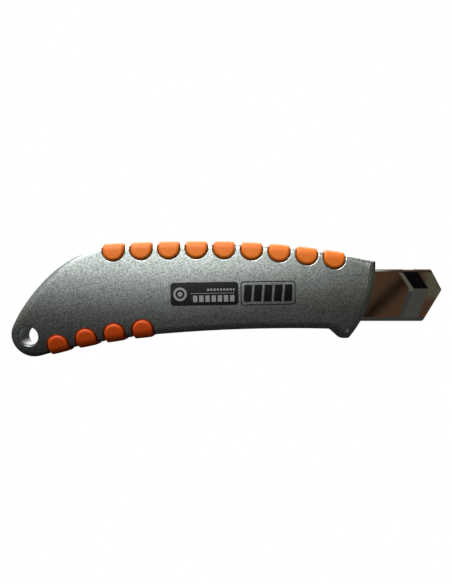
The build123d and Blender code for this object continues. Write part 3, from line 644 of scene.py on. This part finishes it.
    # wrap it round the body
    reach_out = m("ABSOLUTE", along)
    past_top = m("MAXIMUM", 0.0, m("SUBTRACT", reach_out, side_here))
    on_top = m("MINIMUM", 1.0, m("DIVIDE", reach_out, side_here))
    bend = m("MINIMUM", m("DIVIDE", past_top, edge), arc_end)
    on_face = m("MAXIMUM", 0.0, m("SUBTRACT", past_top, arc_length))
    lift = m("ADD", edge, height)
    depth = m("SUBTRACT", edge, m("MULTIPLY", lift, m("COSINE", bend)))
    depth = m("ADD", depth, m("MULTIPLY", on_face, m("COSINE", tilt)))
    x = m("ADD", x0, m("MULTIPLY", across, m("COSINE", lean)))
    x = m("SUBTRACT", x, m("MULTIPLY", depth, m("MULTIPLY", flip, m("SINE", lean))))
    z = m("SUBTRACT", z0, m("MULTIPLY", across, m("SINE", lean)))
    z = m("SUBTRACT", z, m("MULTIPLY", depth, m("MULTIPLY", flip, m("COSINE", lean))))
    curve_drop = m("DIVIDE", m("MULTIPLY", on_face, on_face), m("MULTIPLY", given["Crown Radius"], 2.0))
    bow = m("DIVIDE", m("MULTIPLY", across, across), m("MULTIPLY", arc_radius, 2.0))
    z = m("SUBTRACT", z, bow)
    y = m("MULTIPLY", on_top, m("SUBTRACT", side, taper(x)))
    y = m("ADD", y, m("MULTIPLY", lift, m("SINE", bend)))
    y = m("ADD", y, m("MULTIPLY", on_face, m("SINE", tilt)))
    y = m("SUBTRACT", y, curve_drop)
    y = m("MULTIPLY", y, m("MULTIPLY", m("SIGN", along), -1.0))
    place = t.add("ShaderNodeCombineXYZ", {0: x, 1: y, 2: z}).outputs[0]
    placed = t.add("GeometryNodeSetPosition", {"Geometry": flat, "Position": place}).outputs[0]
    closed = t.add("GeometryNodeMergeByDistance", {"Geometry": placed, "Distance": PAD_WELD}).outputs[0]
    return finish_geometry_tree(t, given, end, closed)


def merge_and_face_out(mesh):
    """Weld doubles and turn every face outwards."""
    work = bmesh.new()
    work.from_mesh(mesh)
    bmesh.ops.remove_doubles(work, verts=work.verts, dist=0.001 * MM)
    bmesh.ops.recalc_face_normals(work, faces=work.faces)
    for face in work.faces:
        face.smooth = True
    work.to_mesh(mesh)
    work.free()


def make_grips():
    """The two rows of pads that stand for the plain grip strips."""
    tree = make_pad_tree()
    common = dict(PAD, **CROWN, **SPINE_ARCS)
    top = run_geometry_tree("grip_pads_top", tree, dict(common, **TOP_ROW))
    low = run_geometry_tree("grip_pads_bottom", tree, dict(common, **LOW_ROW))
    for piece, node in ((top, "top_grip"), (low, "bottom_grip")):
        merge_and_face_out(piece.data)
        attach(piece, "handle")
        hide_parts(node)


make_grips()


# ---------------------------------------------------------------- stage, lights and camera
FLOOR_GAP = 0.0002
FLOOR_LOW = (-1.5, -0.10)
FLOOR_HIGH = (1.5, 1.5)
FLOOR_SEEN = 1.0
FLOOR_BOUNCE = 0.032
VIEW_POINT = Vector((0.0741, -0.260, 0.0166))
LENS = 41.6
SENSOR = 36.0
TOP_SOFTBOX = {"place": (-0.03, -0.16, 0.46), "size": (0.44, 0.22), "power": 2.1}
BACK_SOFTBOX = {"place": (0.08, 0.32, 0.38), "size": (0.60, 0.40), "power": 2.0}

# surround, by the direction it lies in from the knife: x to the tip, y to the back, z up
LEVEL_AT_HORIZON = 0.37
LEVEL_RISE = 0.26
LEVEL_TOP = 2.4
LEVEL_OVERHEAD = 0.35
OVERHEAD = (0.75, 0.97)
SLOPE_TO_TIP = 0.8
SLOPE_START = -0.08
TIP_SIDE = (0.14, 0.24)
TIP_SIDE_LEVEL = 0.06
TAIL_SIDE = (-0.70, -0.15)
TAIL_SIDE_LEVEL = 0.20
WARM_BELOW = (0.05, 0.30)
WARM_TINT = (1.0, 0.56, 0.36, 1)
WINDOW_X = (0.50, 0.60)
WINDOW_Z = (-0.45, 0.50)
WINDOW_SOFT = 0.08
WINDOW_COLOUR = (0.125, 0.125, 0.092, 1)
DOOR_X = (0.045, 0.198)
DOOR_Z = (-0.35, 0.15)
DOOR_SOFT = (0.012, 0.03)
DOOR_SILL = (0.006, 0.020)
DOOR_DARK = grey(0.004)
DOOR_PALE = (0.072, 0.072, 0.066, 1)
WALL_X = (0.198, 0.36)
WALL_Z = (-0.10, 0.10)
WALL_SOFT = (0.01, 0.03)
WALL_BROWN = (0.080, 0.044, 0.025, 1)
WALL_SHADOW = (0.004, 0.002, 0.001, 1)
SHADOW_OFFSET = 0.239
SHADOW_HALF_WIDTH = 0.013
SHADOW_DEPTH = 0.85
OLIVE_X = (0.280, 0.284)
OLIVE_Z = (-0.012, -0.004)
OLIVE = (0.105, 0.100, 0.066, 1)
RIPPLE_SCALE = 70.0
RIPPLE_SIZE = 0.03


def make_floor():
    """Plain pale floor just under the knife."""
    mesh = bpy.data.meshes.new("floor")
    z = cad_low[2] - FLOOR_GAP
    (left, front), (right, back) = FLOOR_LOW, FLOOR_HIGH
    corners = [(left, front, z), (right, front, z), (right, back, z), (left, back, z)]
    mesh.from_pydata(corners, [], [(0, 1, 2, 3)])
    mesh.materials.append(studio_white("pale_floor", FLOOR_SEEN, FLOOR_BOUNCE))
    floor = bpy.data.objects.new("floor", mesh)
    bpy.context.collection.objects.link(floor)


def band(t, value, low, high, soft):
    """1 between two values, with soft ends."""
    after_low = t.ramp(value, low - soft, low + soft)
    before_high = t.ramp(value, high - soft, high + soft, 1.0, 0.0)
    return t.math("MULTIPLY", after_low, before_high)


def surround_level(t, x, z):
    """Brightness of the studio: bright above, falling off low down and towards both ends."""
    m = t.math
    side = m("MULTIPLY", m("MAXIMUM", x, SLOPE_START), SLOPE_TO_TIP)
    rise = m("SUBTRACT", z, side)
    level = m("MULTIPLY", LEVEL_AT_HORIZON, m("EXPONENT", m("DIVIDE", rise, LEVEL_RISE)))
    level = m("MULTIPLY", m("MINIMUM", level, LEVEL_TOP), t.ramp(z, *OVERHEAD, 1.0, LEVEL_OVERHEAD))
    level = m("MULTIPLY", level, t.ramp(x, *TIP_SIDE, 1.0, TIP_SIDE_LEVEL))
    return m("MULTIPLY", level, t.ramp(x, *TAIL_SIDE, TAIL_SIDE_LEVEL, 1.0))


def wall_colour(t, direction, x, z):
    """Brown wall crossed by a slanting shadow, with a rippled olive patch."""
    m = t.math
    slant = m("DIVIDE", m("SUBTRACT", m("SUBTRACT", x, z), SHADOW_OFFSET), SHADOW_HALF_WIDTH)
    shadow = m("EXPONENT", m("MULTIPLY", m("MULTIPLY", slant, slant), -1.0))
    brown = t.mix(m("MULTIPLY", shadow, SHADOW_DEPTH), WALL_BROWN, WALL_SHADOW)
    ripple = m("MULTIPLY", m("SUBTRACT", t.noise(direction, RIPPLE_SCALE)[0], 0.5), RIPPLE_SIZE)
    olive = m("MULTIPLY", t.ramp(m("ADD", x, ripple), *OLIVE_X), t.ramp(m("ADD", z, ripple), *OLIVE_Z))
    return t.mix(olive, brown, OLIVE)


def make_world():
    """Studio surround: white to the camera; to the knife a lit studio with a window, a door and a wall."""
    world = bpy.data.worlds.new("studio")
    bpy.context.scene.world = world
    world.use_nodes = True
    world.node_tree.nodes.clear()
    t = Tree(world.node_tree)
    m = t.math
    direction = t.add("ShaderNodeTexCoord").outputs["Generated"]
    x, y, z = t.split(direction)
    level = surround_level(t, x, z)
    tint = t.mix(t.ramp(level, *WARM_BELOW), WARM_TINT, grey(1.0))
    glow = t.add("ShaderNodeVectorMath", {0: tint, "Scale": level}, operation="SCALE").outputs[0]
    in_front = m("LESS_THAN", y, 0.0)
    window = m("MULTIPLY", t.ramp(x, *WINDOW_X), band(t, z, *WINDOW_Z, WINDOW_SOFT))
    glow = t.mix(m("MULTIPLY", window, in_front), glow, WINDOW_COLOUR)
    door = m("MULTIPLY", band(t, x, *DOOR_X, DOOR_SOFT[0]), band(t, z, *DOOR_Z, DOOR_SOFT[1]))
    door_colour = t.mix(t.ramp(z, *DOOR_SILL), DOOR_DARK, DOOR_PALE)
    glow = t.mix(m("MULTIPLY", door, in_front), glow, door_colour)
    wall = m("MULTIPLY", band(t, x, *WALL_X, WALL_SOFT[0]), band(t, z, *WALL_Z, WALL_SOFT[1]))
    glow = t.mix(m("MULTIPLY", wall, in_front), glow, wall_colour(t, direction, x, z))
    lit = t.add("ShaderNodeBackground", {0: glow, 1: 1.0})
    seen = t.add("ShaderNodeBackground", {0: grey(1.0), 1: 1.0})
    path = t.add("ShaderNodeLightPath").outputs["Is Camera Ray"]
    both = t.add("ShaderNodeMixShader", {0: path, 1: lit.outputs[0], 2: seen.outputs[0]})
    t.add("ShaderNodeOutputWorld", {0: both.outputs[0]})


def area_light(name, target, place, size, power):
    """Rectangular softbox that faces a target."""
    data = bpy.data.lights.new(name, "AREA")
    data.shape = "RECTANGLE"
    data.size, data.size_y = size
    data.energy = power
    lamp = bpy.data.objects.new(name, data)
    lamp.location = place
    lamp.rotation_euler = (Vector(target) - Vector(place)).to_track_quat("-Z", "Y").to_euler()
    bpy.context.collection.objects.link(lamp)


def make_lights():
    """One softbox above the front and one above the back."""
    middle = ((cad_low[0] + cad_high[0]) / 2, 0, GUIDE_MID_Z)
    area_light("top_softbox", middle, **TOP_SOFTBOX)
    area_light("back_softbox", middle, **BACK_SOFTBOX)


def make_camera():
    """Level camera square to the right-hand face."""
    data = bpy.data.cameras.new("camera")
    data.lens = LENS
    data.sensor_width = SENSOR
    data.clip_start = 0.01
    data.clip_end = 20.0
    camera = bpy.data.objects.new("camera", data)
    camera.location = VIEW_POINT
    camera.rotation_euler = (radians(90), 0, 0)
    bpy.context.collection.objects.link(camera)
    bpy.context.scene.camera = camera


make_floor()
make_world()
make_lights()
make_camera()
bpy.context.scene.view_settings.view_transform = "Standard"
